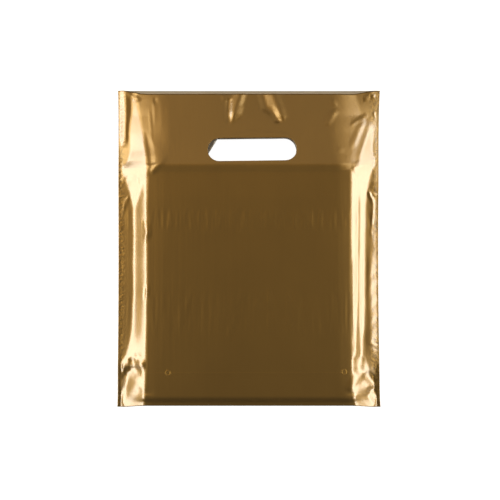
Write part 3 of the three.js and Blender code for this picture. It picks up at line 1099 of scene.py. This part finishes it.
@dataclass(frozen=True)
class FilmFinish:
    """One face of the film: a pearl pigment under a clear gloss skin."""

    name: str
    colour: Triple
    metallic: float
    roughness: float
    coat: float
    coat_roughness: float
    coat_ior: float
    cloud: float
    fleck: float
    line: float
    mark: float
    bump: float

    def material(self, grain: bpy.types.NodeTree) -> Material:
        """Builds the finish.

        Args:
            grain: the film grain group.

        Returns:
            The material.
        """
        material = bpy.data.materials.new(self.name)
        material.use_nodes = True
        nodes, links = material.node_tree.nodes, material.node_tree.links
        shader = nodes["Principled BSDF"]
        set_inputs(shader, {"Metallic": self.metallic, "Roughness": self.roughness, "Coat Weight": self.coat})
        set_inputs(shader, {"Coat Roughness": self.coat_roughness, "Coat IOR": self.coat_ior})
        film = nodes.new("ShaderNodeGroup")
        film.node_tree = grain
        set_inputs(film, {"Cloud": self.cloud, "Fleck": self.fleck, "Line": self.line, "Mark": self.mark})
        tint = nodes.new("ShaderNodeVectorMath")
        tint.operation = "SCALE"
        tint.inputs[0].default_value = self.colour
        bump = nodes.new("ShaderNodeBump")
        set_inputs(bump, {"Strength": self.bump, "Distance": METRE})
        links.new(film.outputs["Tone"], tint.inputs["Scale"])
        links.new(tint.outputs["Vector"], shader.inputs["Base Color"])
        links.new(film.outputs["Height"], bump.inputs["Height"])
        links.new(bump.outputs["Normal"], shader.inputs["Normal"])
        return material


GOLD_FILM = FilmFinish(
    name="gold film", colour=(0.37, 0.202, 0.043), metallic=0.98, roughness=0.49,
    coat=0.95, coat_roughness=0.25, coat_ior=2.08,
    cloud=0.2, fleck=0.05, line=0.2, mark=1.0, bump=0.6,
)
INNER_FILM = FilmFinish(
    name="inner film", colour=(0.69, 0.58, 0.46), metallic=0.35, roughness=0.4,
    coat=0.3, coat_roughness=0.2, coat_ior=1.5,
    cloud=0.12, fleck=0.04, line=0.1, mark=0.0, bump=0.2,
)


@dataclass(frozen=True)
class Studio:
    """White floor, soft lamps at the sides, the shoulders and the mouth, a dim world and the camera above."""

    camera_height: float = 1.33
    camera_x: float = 0.00096
    camera_y: float = -0.00048
    lens: float = 100.0
    sensor: float = 36.0
    floor_size: float = 6.0
    floor_drop: float = 0.0001
    floor_tone: float = 0.5
    floor_roughness: float = 0.9
    floor_shine: float = 0.1
    floor_glow: float = 0.93
    floor_gleam: float = 0.14
    world_strength: float = 0.02
    lamp_strength: float = 5.5
    lamp_distance: float = 0.9
    lamp_height: float = 0.5
    lamp_size: Pair = (1.4, 0.4)
    lamp_colour: Triple = (1, 1.03, 0.97)
    mouth_strength: float = 0.31
    mouth_colour: Triple = (1, 0.75, 0.35)
    mouth_place: Triple = (0, 0.8, 0.95)
    mouth_size: Pair = (1.6, 0.6)
    shoulder_strength: Pair = (5.0, 1.8)
    shoulder_place: Triple = (0.75, 0.5, 1.0)
    shoulder_size: Pair = (0.4, 0.4)

    def floor(self) -> None:
        """Lays the floor, which is plain white to the camera and in reflections."""
        mesh = bmesh.new()
        bmesh.ops.create_grid(mesh, x_segments=1, y_segments=1, size=self.floor_size / 2)
        bmesh.ops.translate(mesh, vec=(0, 0, -self.floor_drop), verts=mesh.verts)
        data = bpy.data.meshes.new("floor")
        mesh.to_mesh(data)
        mesh.free()
        data.materials.append(self.floor_material())
        floor = bpy.data.objects.new("floor", data)
        bpy.context.scene.collection.objects.link(floor)

    def floor_material(self) -> Material:
        """The floor's white, which keeps a faint shadow under the bag.

        Returns:
            The material.
        """
        material = bpy.data.materials.new("floor white")
        material.use_nodes = True
        nodes, links = material.node_tree.nodes, material.node_tree.links
        shader = nodes["Principled BSDF"]
        set_inputs(shader, {"Base Color": (*[self.floor_tone] * 3, 1), "Emission Color": (1, 1, 1, 1)})
        set_inputs(shader, {"Roughness": self.floor_roughness, "Specular IOR Level": self.floor_shine})
        path = nodes.new("ShaderNodeLightPath")
        gleam = nodes.new("ShaderNodeMath")
        gleam.operation = "MULTIPLY"
        gleam.inputs[1].default_value = self.floor_gleam
        glow = nodes.new("ShaderNodeMath")
        glow.operation = "MULTIPLY_ADD"
        glow.inputs[1].default_value = self.floor_glow
        links.new(path.outputs["Is Glossy Ray"], gleam.inputs[0])
        links.new(path.outputs["Is Camera Ray"], glow.inputs[0])
        links.new(gleam.outputs[0], glow.inputs[2])
        links.new(glow.outputs[0], shader.inputs["Emission Strength"])
        return material

    def world(self) -> None:
        """Sets the plain world, which is white to the camera and dim to the bag."""
        world = bpy.data.worlds.new("studio")
        world.use_nodes = True
        nodes, links = world.node_tree.nodes, world.node_tree.links
        background = nodes["Background"]
        background.inputs["Color"].default_value = (1, 1, 1, 1)
        path = nodes.new("ShaderNodeLightPath")
        seen = nodes.new("ShaderNodeMath")
        seen.operation = "MAXIMUM"
        seen.inputs[1].default_value = self.world_strength
        links.new(path.outputs["Is Camera Ray"], seen.inputs[0])
        links.new(seen.outputs[0], background.inputs["Strength"])
        bpy.context.scene.world = world

    def lamp(
        self, name: str, place: Triple, size: Pair, strength: float, colour: Triple
    ) -> None:
        """Hangs one soft lamp that looks at the bag.

        Args:
            name: the lamp's name.
            place: where it hangs, in metres.
            size: its width and height, in metres.
            strength: how bright its face is, where 1 is white.
            colour: its colour.
        """
        data = bpy.data.lights.new(name, "AREA")
        data.shape = "RECTANGLE"
        data.size, data.size_y = size
        data.energy = strength * math.pi * size[0] * size[1]
        data.color = colour
        lamp = bpy.data.objects.new(name, data)
        lamp.location = place
        lamp.rotation_euler = (-Vector(place)).to_track_quat("-Z", "Y").to_euler()
        bpy.context.scene.collection.objects.link(lamp)

    def lamps(self) -> None:
        """Hangs the lamps."""
        for name, side in (("left", -1), ("right", 1)):
            place = (side * self.lamp_distance, 0, self.lamp_height)
            self.lamp(f"{name} lamp", place, self.lamp_size, self.lamp_strength, self.lamp_colour)
        across, along, height = self.shoulder_place
        for name, side, strength in zip(("left", "right"), (-1, 1), self.shoulder_strength):
            place = (side * across, along, height)
            self.lamp(f"{name} shoulder lamp", place, self.shoulder_size, strength, self.mouth_colour)
        self.lamp("mouth lamp", self.mouth_place, self.mouth_size, self.mouth_strength, self.mouth_colour)

    def camera(self) -> None:
        """Sets the camera straight above the bag."""
        data = bpy.data.cameras.new("camera")
        data.lens = self.lens
        data.sensor_width = self.sensor
        camera = bpy.data.objects.new("camera", data)
        camera.location = (self.camera_x, self.camera_y, self.camera_height)
        bpy.context.scene.collection.objects.link(camera)
        bpy.context.scene.camera = camera

    def build(self) -> None:
        """Builds the whole studio."""
        self.floor()
        self.world()
        self.lamps()
        self.camera()
        bpy.context.scene.view_settings.view_transform = "Standard"


def rest_on_frame(piece: bpy.types.Object) -> None:
    """Lets a piece stand for the CAD bag and move with it.

    Args:
        piece: the finished piece.
    """
    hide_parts("bag")
    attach(piece, "root")
    LOG.info("%s: %d faces", piece.name, len(piece.data.polygons))


def corners(bounds: tuple[Vector, Vector]) -> list[list[float]]:
    """A box's two corners as plain lists."""
    return [list(corner) for corner in bounds]


def main() -> None:
    """Builds the bag and its studio."""
    logging.basicConfig(level=logging.INFO)
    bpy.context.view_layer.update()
    Studio().build()
    form = BagForm()
    grain = FilmGrain().build()
    gold = GOLD_FILM.material(grain)
    inner = INNER_FILM.material(grain)
    for wall in (FrontWall(form), BackWall(form)):
        rest_on_frame(wall.build([gold, inner]))


if __name__ == "__main__":
    main()
